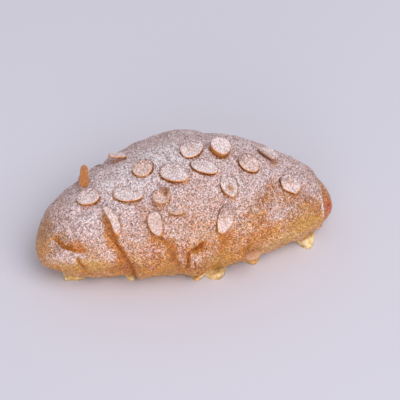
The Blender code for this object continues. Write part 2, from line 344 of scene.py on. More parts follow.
# %% Functions of the roll
def lerp(a, b, share):
    return a + (b - a) * share


def unit(value):
    """A number kept between 0 and 1."""
    return max(0.0, min(1.0, value))


def taper(x):
    """The roll's thickness at x as a share of its greatest thickness."""
    half = LENGTH / 2
    reach = min(1.0, abs(x - CREST) / (half - CREST if x > CREST else half + CREST))
    slope = TAPER_RIGHT if x > CREST else TAPER_LEFT
    return (1 - slope * reach**TAPER_POWER) * (1 - reach**BLUNTNESS) ** TIP_ROUNDING


def axis_y(x):
    return -TIP_FORWARD * (2 * x / LENGTH) ** 2


def axis_z(x):
    return lerp(TIP_HEIGHT, AXIS_SHARE * HEIGHT, taper(x))


def crease_x(index, around):
    """Where crease 1 to 6 lies at an angle round the roll; 0 and 7 are the tips."""
    if index == 0:
        return -LENGTH / 2
    if index > len(CREASES):
        return LENGTH / 2
    place, swing = CREASES[index - 1][:2]
    return place - swing * math.cos(around - SWING_PHASE)


def roll_point(x, around, rise=0.0):
    """A point of the smooth roll. The angle runs from the front over the top."""
    size = taper(x)
    outward = Vector((0, -math.cos(around), math.sin(around)))
    upper = outward.z > 0
    half_height = HEIGHT * size * (1 - AXIS_SHARE if upper else BELLY_SHARE)
    point = Vector((x, axis_y(x), axis_z(x)))
    point.y += outward.y * WIDTH / 2 * size
    point.z += outward.z * half_height
    return point + outward * rise * min(1.0, size / FULL_RELIEF)


def base_sink(x):
    """The height of the axis as a share of the roll's whole lower half."""
    return axis_z(x) / (BELLY_SHARE * HEIGHT * taper(x))


def base_angle(x):
    """How far below the axis the roll's side meets the table."""
    return min(math.asin(min(1.0, base_sink(x))), BASE_ANGLE_LIMIT)


print("at the crest the roll is", round(taper(CREST) * WIDTH / MM), "mm wide")

# %% [markdown]
# ## Where the almond cream lies
#
# The cream that was pressed into the roll has boiled out and baked hard along the base. It
# shows as six lobes in front, of which the left one has two bulges. Its outline is needed
# twice: by the cream itself, and by the crust, whose underside lies on it.

# %% Outline of the cream
CREAM_THICKNESS = 3.6 * MM
CREAM_HALF_LENGTH = 70 * MM
CREAM_INSET = 9 * MM
CREAM_CLEARANCE = 1.6 * MM
HOLLOW_SLOPE = 2.4 * MM
GAP = 0.3 * MM
LOBE_ROOM = 1.5 * MM
LOBE_ROUNDNESS = 0.6
LEAST_HALF_WIDTH = 2 * MM

# Each lobe: place, side, half width, reach from the middle line, height
LOBES = metres((
    (-69, -1, 14, 14, 6),
    (-61, -1, 5.5, 16.2, 4.2),
    (-34.8, -1, 4.5, 26.6, 3.8),
    (-1, -1, 4.5, 36.5, 3.8),
    (9.5, -1, 9.5, 38, 8),
    (31.5, -1, 7, 30.7, 4.6),
    (63.8, -1, 8, 23.2, 6),
    (-47, 1, 5, 23, 3.6),
    (-10, 1, 7, 36, 5),
    (38, 1, 6, 27, 4.4),
), 0, 2, 3, 4)


def base_edge(x, side):
    """The y of the edge where the crust's side meets the table."""
    half_width = WIDTH / 2 * taper(x)
    return axis_y(x) + side * half_width * math.sqrt(max(0.1, 1 - base_sink(x) ** 2))


def cream_edge(x, side, clearance=0.0):
    """The y of the cream's own edge, with its lobes."""
    edge = base_edge(x, side) - side * CREAM_INSET
    edge = side * max(side * edge, side * axis_y(x) + LEAST_HALF_WIDTH)
    for place, lobe_side, half_width, reach, _ in LOBES:
        offset = abs(x - place) / (half_width + clearance)
        if lobe_side == side and offset < 1:
            far = axis_y(place) + side * reach
            edge = lerp(edge, far, math.cos(offset * math.pi / 2) ** LOBE_ROUNDNESS)
    return edge + side * clearance


def hollow_height(x, y):
    """How far the cream holds the crust's underside off the table."""
    inside = min(
        y - cream_edge(x, -1, CREAM_CLEARANCE),
        cream_edge(x, 1, CREAM_CLEARANCE) - y,
        CREAM_HALF_LENGTH + CREAM_CLEARANCE - abs(x),
    )
    return unit(1 + inside / HOLLOW_SLOPE) * (CREAM_THICKNESS + GAP)


print("the widest lobe reaches", round(max(lobe[3] for lobe in LOBES) / MM, 1), "mm out")

# %% [markdown]
# ## The crust's relief
#
# Four things shape a croissant's skin. At each crease the outer wrap ends in a soft lip
# that overhangs a narrow groove. Single folds, dents and flaps belong to one place. The
# layers under the skin blister it, and the skin itself breaks into thin plates with sharp
# edges, like contour lines on a map: a rounded noise cut into steps draws them.

# %% Noise and soft patches
def bell(distance):
    """1 in the middle, falling smoothly to nothing at about 2."""
    return math.exp(-(distance**2))


def lumps(place, size, seed=0.0):
    """Smooth noise from -1 to 1 whose lumps are about this many mm across."""
    return noise.noise(place / (size * MM) + Vector((0, 0, seed)))


def patchwork(patches, x, around, end=math.inf):
    """The sum of a table's soft-edged patches at a place on the roll."""
    total = 0.0
    for place, degrees, reach, spread, strength in patches:
        turn = math.remainder(around - math.radians(degrees), math.tau)
        far = ((x - place) / reach) ** 2 + (turn / math.radians(spread)) ** 2
        if far < end:
            total += strength * math.exp(-far)
    return total


print("a patch has faded to", round(bell(1), 2), "at the end of its reach")

# %% The relief beside a crease
LIP_SHARE = 0.2
LIP_FADE = 4 * MM
STEP_FADE = 9 * MM
SOFT_STEP = 2.2 * MM  # half the width over which a closed crease drops
SHARP_STEP = 0.5 * MM  # and an open one
OVERHANG = 0.25  # as a share of the step
OVERHANG_FADE = 1.2 * MM
GROOVE_SHARE = 0.12
GROOVE_WIDTH = 1.4 * MM
STAIN_WIDTH = 3.4 * MM  # how far the deep colour of a crease spreads
CREASE_WANDER = 1.3 * MM
RAGGED = 1.8  # how unevenly a crease gapes along its length
CREASE_STAIN = 2.4 * MM  # a step this high is fully stained
GAPE_FADE = 24  # degrees over which a crease closes


def front_angle(around):
    """The angle up the nearer side, front or back, from its own edge."""
    around = math.remainder(around, math.tau)
    return math.pi - around if around > math.pi / 2 else around


def crease_relief(x, index, around, place):
    """Height, forward shift and depth of groove beside the two nearest creases."""
    height = shift = groove = 0.0
    side = abs(math.cos(around))
    up_side = math.degrees(front_angle(around))
    for crease in (index, index + 1):
        if not 1 <= crease <= len(CREASES):
            continue
        middle, _, at_side, on_top, gape_degrees, gape = CREASES[crease - 1]
        step = lerp(on_top, at_side, side)
        ragged = 1 + RAGGED * lumps(place, 9, 9.0 * crease)
        fade = unit((gape_degrees - up_side) / GAPE_FADE + 0.5)
        open_here = gape * fade * max(0.0, ragged)
        inwards = (x - crease_x(crease, around)) * math.copysign(1, middle)
        inwards += CREASE_WANDER * lumps(place, 6, 9.0 * crease)
        width = lerp(SOFT_STEP, SHARP_STEP, min(1.0, 1.4 * open_here))
        inner = 0.5 * (1 + math.tanh(inwards / width))
        distance = abs(inwards)
        height += (1 - inner) * LIP_SHARE * step * math.exp(-distance / LIP_FADE)
        height -= inner * step * math.exp(-distance / STEP_FADE)
        cut = bell((inwards - GROOVE_WIDTH / 2) / GROOVE_WIDTH)
        height -= GROOVE_SHARE * cut * step * open_here
        lean = OVERHANG * open_here * step
        shift += math.copysign(lean, middle) * math.exp(-distance / OVERHANG_FADE)
        stain = inner * bell(distance / STAIN_WIDTH) * step / CREASE_STAIN
        groove += stain * min(1.0, 1.2 * open_here)
    return height, shift, groove


print("a closed crease drops within", 2 * SOFT_STEP / MM, "mm, an open one", 2 * SHARP_STEP / MM)

# %% Dents and bumps
# Dents (negative) and bumps: place, degrees round the roll, reach, reach in degrees, rise
DENTS = metres((
    (-71, 47, 5, 11, -1.2),  # round the fold that runs into the left tip
    (-63, 22, 5, 9, -1.2),
    (-70, 12, 6, 18, 1.4),  # the sugared flap below that fold
    (-61.5, 0, 3.0, 14, -1.4),
    (-78, 62, 3.5, 18, 1.0),
    (-79, 28, 3, 14, -1.0),
    (-77, -8, 4, 16, 1.2),
    (-53, 3, 6, 12, 1.2),
    (-27, 2, 6, 13, 0.9),
    (-3.0, 5, 4.5, 5, -2.2),  # the pocket low on the front
    (-3.5, -12, 4.4, 12, 1.7),  # the flap of dough under it
    (-1, -37, 5, 12, 2.4),  # and its end on the table
    (-11, 4, 2.5, 14, 1.2),  # the ridge left of the flap
    (48, 39, 5.5, 12, -1.5),
    (49, 18, 8, 12, 1.0),
    (-33, -17, 3, 9, -1.4),  # lumps along the foot of the front
    (-24, -19, 4, 8, 1.3),
    (-14, -22, 3.5, 8, -1.4),
    (20, -18, 4, 8, 1.2),
    (28, -12, 3.5, 9, -1.3),
    (44, -7, 4, 9, 1.3),
    (54, -6, 4, 10, -1.3),
    (61, 10, 4, 10, 0.7),
), 0, 2, 4)
DENT_END = 9  # a dent stops at three reaches
print(len(DENTS), "dents and bumps")

# %% Sharp folds
# Sharp folds: half width, depth, how much further the bare dough shows above them, then
# the points they run through (place, degrees). A fold opens towards its last point.
FOLDS = metres((
    (0.7, 2.0, 4.2, ((-74, 58), (-71.8, 49), (-69.5, 36), (-65.4, 27), (-60.5, 19))),
    (0.8, 2.0, 0.3, ((-64.2, 14), (-62.3, 3), (-60.8, -8), (-59.5, -20))),
    (0.8, 2.6, 0.5, ((-8, -2), (-6.5, 1), (-3.5, 4.5), (-0.5, 9), (1.2, 11))),
    (0.7, 2.0, 0.5, ((-2, 6.5), (-0.6, 5.5), (0.3, 3))),
    (0.6, 1.8, 1.0, ((-6.6, 0), (-7.8, -6), (-8.6, -14), (-8.6, -24))),
    (0.4, 0.6, 0.0, ((1.4, 2), (2.4, -8), (1.6, -20), (2.4, -32))),
    (0.5, 1.2, 0.0, ((-4.5, -6), (-3.2, -14), (-4.5, -24))),
    (0.5, 1.1, 0.0, ((-1.5, -14), (-0.4, -22), (-1.6, -30))),
    (0.6, 1.2, 0.0, ((76.5, 95), (76, 60), (76.8, 30), (76, 0))),
    (0.4, 0.9, 0.0, ((79, 80), (78.2, 45), (79, 10))),
    (0.4, 0.7, 1.0, ((-24, 10), (-22, 2), (-21, -8))),
    (0.4, 0.6, 1.0, ((52, 24), (47, 18), (41, 16))),
    (0.4, 0.6, 1.0, ((23, 12), (21, 2), (22, -8))),
), 0, 1)
FOLD_WANDER = 1.1 * MM
FOLD_ROOM = 6 * MM  # a fold is looked for this far past its ends
FOLD_STAIN = 2.2 * MM  # a fold this deep is fully stained


def fold_cut(x, around, half_width, spread, path):
    """A fold's depth at a place from 0 to 1, the height of its rims and its stain."""
    arc = 0.5 * (WIDTH + HEIGHT) / 2 * taper(x)
    here = Vector((x, around * arc, 0))
    here.x += FOLD_WANDER * lumps(here, 4)
    here.y += FOLD_WANDER * lumps(here, 4, 5)
    points = [Vector((p * MM, math.radians(d) * arc, 0)) for p, d in path]
    lengths = [(end - start).length for start, end in zip(points, points[1:])]
    nearest, travelled, run, above = math.inf, 0.0, 0.0, 0.0
    for start, end, length in zip(points, points[1:], lengths):
        along = end - start
        share = unit((here - start).dot(along) / length**2)
        away = here - start - along * share
        if away.length < nearest:
            nearest, travelled = away.length, run + share * length
            above = 1.0 if along.x * away.y > along.y * away.x else 0.0
        run += length
    done = travelled / run
    fade = math.sin(math.pi * min(0.5, 0.1 + 1.6 * done))
    fade *= math.sin(math.pi * min(0.5, 0.1 + 1.6 * (1 - done)))
    half_width *= 0.6 + 0.9 * done
    cut = bell(nearest / half_width)
    rims = bell((nearest - 2.2 * half_width) / (1.2 * half_width))
    stain = bell(nearest / (half_width * (1 + above * spread)))
    return cut * fade, rims * fade, stain * fade


print(len(FOLDS), "folds")

# %% Stains, and all the relief that belongs to one place
# Where the dough between two wraps shows deep orange: place, degrees round the roll,
# reach, reach in degrees, strength
STAINS = metres((
    (-45.4, 33, 2.2, 11, 0.8),
    (-39.5, -13, 4.4, 12, 1.0),
    (-42, 13, 3, 8, 0.5),
    (-66, 31, 3, 4, 0.3),
    (-24.5, 24, 1.6, 8, 0.4),
    (-15.8, 9, 2.2, 8, 0.8),
    (-3.5, 3.5, 3, 3, 0.9),
    (-1, 7.5, 1.8, 3, 0.9),
    (-7.4, -4, 0.9, 9, 0.7),
    (10.6, 14, 1.3, 11, 0.7),
    (13, 5, 2.5, 8, 0.2),
    (-20.5, -20, 5, 8, 0.3),
), 0, 2)


def local_relief(x, around):
    """Height and groove of the folds, dents and flaps that belong to one place."""
    height = patchwork(DENTS, x, around, DENT_END)
    groove = patchwork(STAINS, x, around)
    around = math.remainder(around, math.tau)
    for half_width, depth, spread, path in FOLDS:
        places = [point[0] * MM for point in path]
        if min(places) - FOLD_ROOM < x < max(places) + FOLD_ROOM:
            cut, rims, stain = fold_cut(x, around, half_width, spread, path)
            height += depth * (0.3 * rims - cut)
            groove += stain * depth / FOLD_STAIN
    return height, groove


pocket = local_relief(-3 * MM, math.radians(5))[0]
print(len(STAINS), "stains; the pocket low on the front is", round(-pocket / MM, 1), "mm deep")

# %% The skin
WAVE = 1.1 * MM
BLISTER = 0.55 * MM
PIT = 0.32 * MM
PLATE_EDGE = 0.3 * MM
PLATES = 4.5
PLATE_SLOPE = 0.16  # the share of a plate that its sloping edge takes up
RUGGED = 0.9  # how much bumpier the skin is at the table than from this height up
RUGGED_HEIGHT = 22 * MM


def skin_relief(place):
    """Height of waves, blisters and broken plates of skin, and how hollow the spot is."""
    blisters = lumps(place, 7) + 0.5 * lumps(place, 3.4)
    pits = lumps(place, 1.9)
    along = Vector((place.x / (5 * MM), place.y / (13 * MM), place.z / (13 * MM)))
    level = noise.noise(along) * PLATES
    edge = level - math.floor(level)
    plate = math.floor(level) + min(1.0, edge / PLATE_SLOPE)
    rugged = 1 + RUGGED * unit(1 - place.z / RUGGED_HEIGHT)
    height = WAVE * lumps(place, 24) + rugged * (BLISTER * blisters + PIT * pits)
    hollow = 0.5 - 0.6 * blisters - 0.5 * pits - 0.3 * (plate - level - 0.4)
    return height + PLATE_EDGE * (plate - level), hollow


print("blisters rise up to", round(BLISTER * (1 + RUGGED) / MM, 1), "mm at the table")

# %% [markdown]
# ## The crust
#
# A sphere whose poles are the tips already has the right rings and columns. `crust_place`
# moves each of its points to the roll. Rings crowd near the creases, where the shape
# changes within a millimetre, and one column runs along each edge of the base.

# %% Spheres whose points are numbered
def sphere(around, rings):
    """A unit sphere with its points numbered."""
    bm = bmesh.new()
    bmesh.ops.create_uvsphere(bm, u_segments=around, v_segments=rings, radius=1)
    bm.verts.index_update()
    return bm


def ring_of(vert, rings):
    """The ring that a point of a unit sphere is on, counted from the lower pole."""
    return round(math.acos(max(-1, min(1, -vert.co.z))) / math.pi * rings)


def face_outwards(bm):
    if bm.calc_volume(signed=True) < 0:
        bmesh.ops.reverse_faces(bm, faces=bm.faces)


test = sphere(8, 4)
print("a sphere of 8 columns and 4 rings has", len(test.verts), "points")
test.free()

# %% Rings and columns of the crust
OVER = 284  # columns above the table
UNDER = 30  # columns across the underside
RING_SPACING = 0.556 * MM
CREASE_EDGE = 0.22 * MM  # half the width of a crease's step
TIP_RINGS = 1.25  # how many times as many rings the tips get
CROWDING = 0.1  # how closely the rings between crowd towards the creases


def ring_stations():
    """For each ring, the crease before it and the share of the way to the next one."""
    stations = []
    for index in range(len(CREASES) + 1):
        start, end = crease_x(index, math.pi / 2), crease_x(index + 1, math.pi / 2)
        edge = CREASE_EDGE / (end - start)
        count = round((end - start) / RING_SPACING)
        if index in (0, len(CREASES)):
            count = round(count * TIP_RINGS)
        for ring in range(count):
            if index == 0:
                share = (1 - math.cos((ring + 1) / count * math.pi / 2)) * (1 - edge)
            elif index == len(CREASES):
                share = edge + (1 - edge) * math.sin(ring / count * math.pi / 2)
            else:
                even = ring / (count - 1)
                crowded = even - CROWDING * math.sin(math.tau * even)
                share = lerp(edge, 1 - edge, crowded)
            stations.append((index, share))
    return stations


def column_angle(index, share, column):
    """The angle of each column at a ring."""
    fronts = [lerp(crease_x(index, a), crease_x(index + 1, a), share) for a in (0, math.pi)]
    front = -base_angle(fronts[0])
    rear = math.pi + base_angle(fronts[1])
    if column <= OVER:
        return lerp(front, rear, column / OVER)
    return lerp(rear, front + math.tau, (column - OVER) / UNDER)


crust_stations = ring_stations()
columns = OVER + UNDER
rings = len(crust_stations) + 1
print("crust:", rings, "rings of", columns)


# %% Build the crust
def crust_place(index, share, around):
    """A point of the finished crust, how deep in a groove it is and how hollow."""
    x = lerp(crease_x(index, around), crease_x(index + 1, around), share)
    place = roll_point(x, around)
    height, shift, groove = crease_relief(x, index, around, place)
    local, local_groove = local_relief(x, around)
    skin, hollow = skin_relief(place)
    point = roll_point(x, around, height + local + skin)
    point.x += shift * min(1.0, taper(x) / FULL_RELIEF)
    point.z = max(point.z, hollow_height(point.x, point.y))
    return point + SHIFT, (min(1.0, groove + local_groove), hollow)


crust = sphere(columns, rings)
baked = [(0.0, 0.5)] * len(crust.verts)
places = [(0.0, 0.0)] * len(crust.verts)
for vert in crust.verts:
    ring = ring_of(vert, rings)
    if ring in (0, rings):
        x = math.copysign(LENGTH / 2, ring - 1)
        vert.co = SHIFT + Vector((x, axis_y(x), TIP_HEIGHT))
        places[vert.index] = (x, 0.0)
        continue
    station = crust_stations[ring - 1]
    column = round(math.atan2(vert.co.y, vert.co.x) / math.tau * columns) % columns
    angle = column_angle(*station, column)
    vert.co, baked[vert.index] = crust_place(*station, angle)
    places[vert.index] = (vert.co.x - SHIFT.x, angle)
face_outwards(crust)
print("crust:", len(crust.verts), "points")


# %% Turn a bmesh into a piece of the croissant
def make_piece(name, bm, finish, slot, *nodes):
    """Makes the mesh an object that rides on the frame and stands for CAD nodes."""
    mesh = bpy.data.meshes.new(name)
    bm.to_mesh(mesh)
    bm.free()
    mesh.shade_smooth()
    mesh.materials.append(finish.material)
    piece = add_object(name, mesh)
    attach(piece, "root")
    if nodes:
        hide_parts(*nodes)
    return piece


def store(piece, name, colours):
    """Keeps one colour for each point of a piece, for its finish to read."""
    layer = piece.data.color_attributes.new(name, "FLOAT_COLOR", "POINT")
    layer.data.foreach_set("color", [c for colour in colours for c in (*colour, 1.0)])


# %% [markdown]
# ## The sliced almonds
#
# Each slice is a pip-shaped disc, one or two millimetres thick, cream on its cut faces with a
# thin browned rim, bowed by the oven. The CAD slices say where each one lies and how it
# leans: their principal directions are the slice's length, width and thickness. A flattened
# sphere, with its points moved in that frame, gives a disc with a rounded rim.

# %% Find how each CAD slice lies
def slice_frame(node):
    """Middle, directions and sizes of a CAD slice, longest first."""
    places = np.array([v.co[:] for v in node.data.vertices])
    middle = places.mean(axis=0)
    _, directions = np.linalg.eigh(np.cov((places - middle).T))
    length, width, out = (Vector(directions[:, i]) for i in (2, 1, 0))
    x = middle[0] - SHIFT.x
    centre = Vector(middle)
    if out.dot(centre - SHIFT - Vector((x, axis_y(x), axis_z(x)))) < 0:
        out.negate()
    if length.x < 0:
        length.negate()
    width = out.cross(length)
    spread = [float(np.ptp((places - middle) @ np.array(d))) for d in (length, width, out)]
    return centre, (length, width, out), spread


slice_nodes = sorted(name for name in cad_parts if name.startswith("almond_slice"))
slice_frames = {name: slice_frame(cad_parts[name]) for name in slice_nodes}
print(len(slice_frames), "slices, the longest", end=" ")
print(round(max(spread[0] for _, _, spread in slice_frames.values()) / MM, 1), "mm")

# %% [markdown]
# The slices at the back are plain, and each one in front differs in its own way: a sliver
# stands on its end, an end slice shows its brown skin from below, one has curled round a
# hole, one is ruffled. A style lists how a slice differs from a plain one; its lengths are
# in mm.

# %% Styles of slices
PLAIN_MM = {
    "thick": 1.1,
    "deep": 0.0,  # how much further its underside reaches
    "rise": 0.0,  # how far it stands out from its CAD slice, along itself
    "sink": 1.8,  # how far its upper edge lies under the sugar
    "tilt": 0.0,  # how far its right end stands up and its left end lies deeper
    "lift": 0.0,  # how far it stands off the crust
    "slide": 0.0,  # how far it has slid down
    "shift": 0.0,  # and to the right
    "bow": 0.25,  # how far both ends droop
    "bend": 0.0,  # sideways, like a banana
    "ruffle": 0.0,
    "cup": 0.35,  # how far the rim rises round the middle
    "hole": 0.0,  # how deep a hole goes into the upper right
}
PLAIN = {
    "slim": 1.0,  # how wide it is for its CAD slice
    "square": 0.0,  # how little it narrows towards its ends
    "point": 0.16,  # how much narrower one end is
    "waves": 3,
    "skin": 0.0,  # how much brown skin the underside keeps
    "toast": 0.0,  # browned middle
    "toast_at": -0.1,
    "brown": 0.03,  # how brown it is all over
    "bare": 0.0,  # how much of it has no sugar
}
STYLES = {
    1: dict(  # on end
        thick=1.6, rise=1.4, slim=0.9, square=0.6, sink=0.0, bare=1, brown=0.95, toast=1.2,
        toast_at=0.3,
    ),
    2: dict(ruffle=0.25, slide=-1.5, lift=0.3, brown=0.07),
    3: dict(thick=1.5, bow=0.5, skin=0.7, lift=0.5, sink=0.0),
    4: dict(slide=-1.8, lift=0.4, sink=2.4),
    5: dict(cup=0.5, tilt=0.9, toast=0.4, skin=0.5, brown=0.3),
    6: dict(thick=1.7, lift=0.5, sink=1.9, skin=0.3),
    7: dict(toast=0.35, ruffle=0.3, point=0.3),
    8: dict(sink=0.9, lift=0.2, brown=0.0),
    9: dict(  # the end of the nut, with its skin on
        thick=1.2, deep=6.5, bow=0.0, skin=1, lift=1.6, slide=2.6, shift=-1.3, sink=0.0,
        tilt=-0.5, brown=0.06,
    ),
    10: dict(cup=0.5, sink=1.6, brown=0.22),
    11: dict(thick=1.4, bow=0.6, lift=0.6, slide=-1.2, sink=0.3),
    12: dict(toast=0.9, toast_at=0.25, cup=0.4, sink=1.4),
    13: dict(ruffle=0.7, waves=4, cup=0.4, toast=0.4, sink=1.6, brown=0.08),
    14: dict(
        bend=-1.7, bow=0.4, slim=0.72, point=-0.08, square=0.5, cup=0.0, shift=-0.3, sink=0.0,
        lift=0.8, brown=0.2,
    ),
    15: dict(bend=0.6, sink=0.0, brown=0.12),
    16: dict(point=-0.1, toast=0.3, sink=1.0, brown=0.1),
    17: dict(  # curled round a hole
        thick=1.3, bow=-0.6, cup=1.2, hole=1.4, toast=0.3, sink=0.3, lift=0.6, brown=0.34,
    ),
    18: dict(sink=3.8, cup=0.0, slide=-1.0, lift=0.3, brown=0.45),
    19: dict(toast=0.6, toast_at=0.3, bare=1, brown=0.5, sink=0.0, cup=0.8),
}


def style_of(number):
    """A slice's style, with its lengths in metres."""
    style = {**PLAIN_MM, **PLAIN, **STYLES.get(number, {})}
    return {key: value * MM if key in PLAIN_MM else value for key, value in style.items()}


print(len(STYLES), "slices have a style of their own, and the others are plain")

# %% The mesh of one slice
SLICE_AROUND = 40
SLICE_RINGS = 14
RIM_SQUARENESS = 20
WARP = 0.16 * MM


def slice_mesh(name):
    """One slice; per point its rim or skin, its toast and painted hole shade, and how buried it
    is.
    """
    number = int(name[-2:])
    style = style_of(number)
    centre, (along, across, out), (length, width, _) = slice_frames[name]
    seed = 10.0 * number
    bm = sphere(SLICE_AROUND, SLICE_RINGS)
    browns, buried = [], []
    crestward = Vector((0, math.copysign(0.5, -out.y), 0.87))
    for vert in bm.verts:
        level, around = vert.co.z, math.atan2(vert.co.y, vert.co.x)
        reach = min(1.0, vert.co.xy.length)
        outline = 1 + 0.08 * noise.noise(Vector((math.cos(around), math.sin(around), seed)))
        u = reach * math.cos(around) * outline
        v = reach * math.sin(around) * outline * (1 - style["point"] * math.cos(around))
        v *= 1 + style["square"] * u * u
        z = math.copysign(style["thick"] / 2 * math.sqrt(max(0, 1 - reach**RIM_SQUARENESS)), level)
        z -= style["deep"] * max(0.0, -level)
        z -= style["bow"] * (u * u - 0.4)
        z += style["ruffle"] * reach * math.sin(style["waves"] * around + seed)
        z += style["cup"] * (reach**2 - 0.5)
        z += WARP * noise.noise(Vector((2.2 * u, 2.2 * v, seed)))
        hollow = math.exp(-((u + v - 0.7) ** 2) / 0.6 - (v - u + 0.45) ** 2 / 0.12)
        z -= style["hole"] * hollow * (1 if level > 0 else 0.4)
        side = v * width / 2 * style["slim"] + style["bend"] * (u * u - 0.4)
        lay = along * (u * length / 2) + across * side
        uphill = 0.5 + lay.dot(crestward) / width
        z += style["lift"] + style["tilt"] * u - style["sink"] * uphill
        vert.co = centre + lay + out * z + along * math.copysign(style["rise"], along.z)
        vert.co += Vector((style["shift"], -style["slide"], 0))
        rim = unit(1.6 - abs(level) / 0.3) * max(0.0, 1.2 - uphill)
        skin = style["skin"] * (1.0 if level < 0.1 else 0.0)
        spot = style["toast"] * math.exp(-((u - style["toast_at"]) ** 2 + v * v) / 0.14)
        # Painted shade inside the hole of the curled slice, laid on with the toast as brown
        hole_shade = min(1.2, 1.8 * hollow) if style["hole"] else 0.0
        browns.append((max(rim, 0.6 * skin), max(spot, style["brown"], skin, hole_shade)))
        buried.append(style["sink"] and unit(2.2 * uphill - 0.9))
    face_outwards(bm)
    return bm, browns, buried, style["bare"]


slice_meshes = {name: slice_mesh(name) for name in slice_nodes}
print("one slice has", len(slice_meshes[slice_nodes[0]][0].verts), "points")

# %% [markdown]
# ## The almond cream
#
# Only its lobes show. They are sugar and butter that boiled out and set like amber: bumpy,
# glossy drops with a pale, foamy edge. The CAD's thin layer is rebuilt finer, and a noise
# that grows towards the edge swells each lobe.

# %% Build the cream
CREAM_AROUND = 44
CREAM_RINGS = 240
EDGE_SWELL = 1.1 * MM

# How foamy and how brown each lobe is; the foam also paints a highlight, most on the tallest lobe
LOBE_BAKES = (
    (0.8, 0.2), (0.7, 0.4), (0.7, 0.0), (0.4, 0.5), (0.8, 0.2), (0.3, 0.5), (1.0, 0.0),
    (0.4, 0.3), (0.3, 0.4), (0.5, 0.2),
)


def cream_ceiling(x, y):
    """The height of the crust's side above a point beside its base."""
    size = taper(x)
    share = min(1.0, abs(y - axis_y(x)) / (WIDTH / 2 * size))
    return axis_z(x) - BELLY_SHARE * HEIGHT * size * math.sqrt(1 - share**2)


def cream_height(x, y, side):
    """Even under the crust, and swollen where a lobe comes out beside it."""
    height, lobe = CREAM_THICKNESS, 0.0
    for place, lobe_side, half_width, _, lobe_height in LOBES:
        offset = abs(x - place) / half_width
        if lobe_side == side and offset < 1:
            free = cream_ceiling(x, y) - LOBE_ROOM / 2
            rise = min(lobe_height - CREAM_THICKNESS, free - CREAM_THICKNESS)
            lobe = math.cos(offset * math.pi / 2)
            height += max(0.0, rise) * lobe
    return height, lobe


def lobe_bake(x, side):
    """The bake of the lobe that shows at a place."""
    bakes = [(0.0, 0.5)]
    for (place, lobe_side, half_width, _, _), bake in zip(LOBES, LOBE_BAKES):
        if lobe_side == side and abs(x - place) < half_width:
            bakes.append(bake)
    return bakes[-1]


cream = sphere(CREAM_AROUND, CREAM_RINGS)
cream_bakes = [(0.0, 0.0)] * len(cream.verts)
for vert in cream.verts:
    ring = ring_of(vert, CREAM_RINGS)
    x = CREAM_HALF_LENGTH * (2 * ring / CREAM_RINGS - 1)
    if ring in (0, CREAM_RINGS):
        vert.co = SHIFT + Vector((x, axis_y(x), CREAM_THICKNESS / 2))
        continue
    around = math.atan2(vert.co.y, vert.co.x)
    y = lerp(cream_edge(x, -1), cream_edge(x, 1), (1 - math.cos(around)) / 2)
    top, lobe = cream_height(x, y, -1 if y < axis_y(x) else 1)
    z = top * max(0.0, math.sin(around)) ** 0.5
    outside = max(0.0, abs(math.cos(around)) - 0.5) * 2 * lobe
    place = Vector((x, y, z))
    bumps = lumps(place, 3.2) + 0.5 * lumps(place, 1.3)
    y += math.copysign(EDGE_SWELL * outside * bumps, y - axis_y(x))
    z += EDGE_SWELL * outside * bumps if z > 0 else 0.0
    vert.co = SHIFT + Vector((x, y, max(0.0, z)))
    cream_bakes[vert.index] = lobe_bake(x, -1 if y < axis_y(x) else 1)
face_outwards(cream)
print("cream:", len(cream.verts), "points")

# %% [markdown]
# ## Icing sugar
#
# Icing sugar is sifted from above, so it lies where the sky can be seen: thick on top, thin
# on the sides, none under an overhang or in a crease. For each point, rays sent up in all
# directions count how much of it gets through. That share is stored on the mesh as a
# colour, and the finishes turn it into a speckled dusting.

# %% See how much sugar lands on each piece
SHELTER = 40 * MM  # sugar is kept off a point by whatever hangs this near above it
FALLING = [Vector((0, 0, 1))]
for ring, tilt in enumerate((20, 40, 60, 78)):
    for turn in range(6):
        around = math.tau * (turn + 0.5 * ring) / 6
        out = math.sin(math.radians(tilt))
        rise = math.cos(math.radians(tilt))
        FALLING.append(Vector((out * math.cos(around), out * math.sin(around), rise)))
STEEP = 0.9  # slices, which lie close to the crust, only stop what falls steeply
RAY_START = 0.3 * MM
SLICE_SHADOW_REACH = 1.3 * MM
OPEN_GROUND = sum(direction.z for direction in FALLING)  # what a flat spot gets
print("sugar falls from", len(FALLING), "directions")


def sky_share(point, normal):
    """How much of the sugar falling on a point from above lands there, from 0 to 1."""
    landed = 0.0
    start = point + normal * RAY_START
    for direction in FALLING:
        facing = direction.dot(normal)
        if facing <= 0 or crust_tree.ray_cast(start, direction, SHELTER)[0]:
            continue
        if direction.z < STEEP or slice_tree.ray_cast(start, direction, SHELTER)[0] is None:
            landed += facing
    return landed / OPEN_GROUND


def tree_of(*meshes):
    """One search tree over several bmeshes, for rays."""
    corners, faces = [], []
    for bm in meshes:
        bm.verts.index_update()
        first = len(corners)
        corners.extend(v.co.copy() for v in bm.verts)
        faces.extend([first + v.index for v in f.verts] for f in bm.faces)
    return BVHTree.FromPolygons(corners, faces)


def sugar_on(bm):
    """The share of sugar on each point of a mesh."""
    bm.normal_update()
    return [sky_share(v.co, v.normal) for v in bm.verts]


def shadows_under_slices(bm):
    """How close each point lies below a slice's edge, from 0 to 1: where a shadow is painted."""
    shades = []
    for vert in bm.verts:
        spot, _, _, distance = slice_tree.find_nearest(vert.co, SLICE_SHADOW_REACH)
        above = 0.0 if spot is None else (spot.z - vert.co.z) / max(distance, 0.1 * MM)
        near = 0.0 if spot is None else 1 - distance / SLICE_SHADOW_REACH
        shades.append(unit(2 * above) * min(1.0, 1.6 * near))
    return shades


crust_tree = tree_of(crust)
slice_tree = tree_of(*(made[0] for made in slice_meshes.values()))
crust_sugar = sugar_on(crust)
crust_slice_shadows = shadows_under_slices(crust)
slice_sugar = {name: sugar_on(slice_meshes[name][0]) for name in slice_nodes}
print("mean sugar on the crust:", round(sum(crust_sugar) / len(crust_sugar), 2))
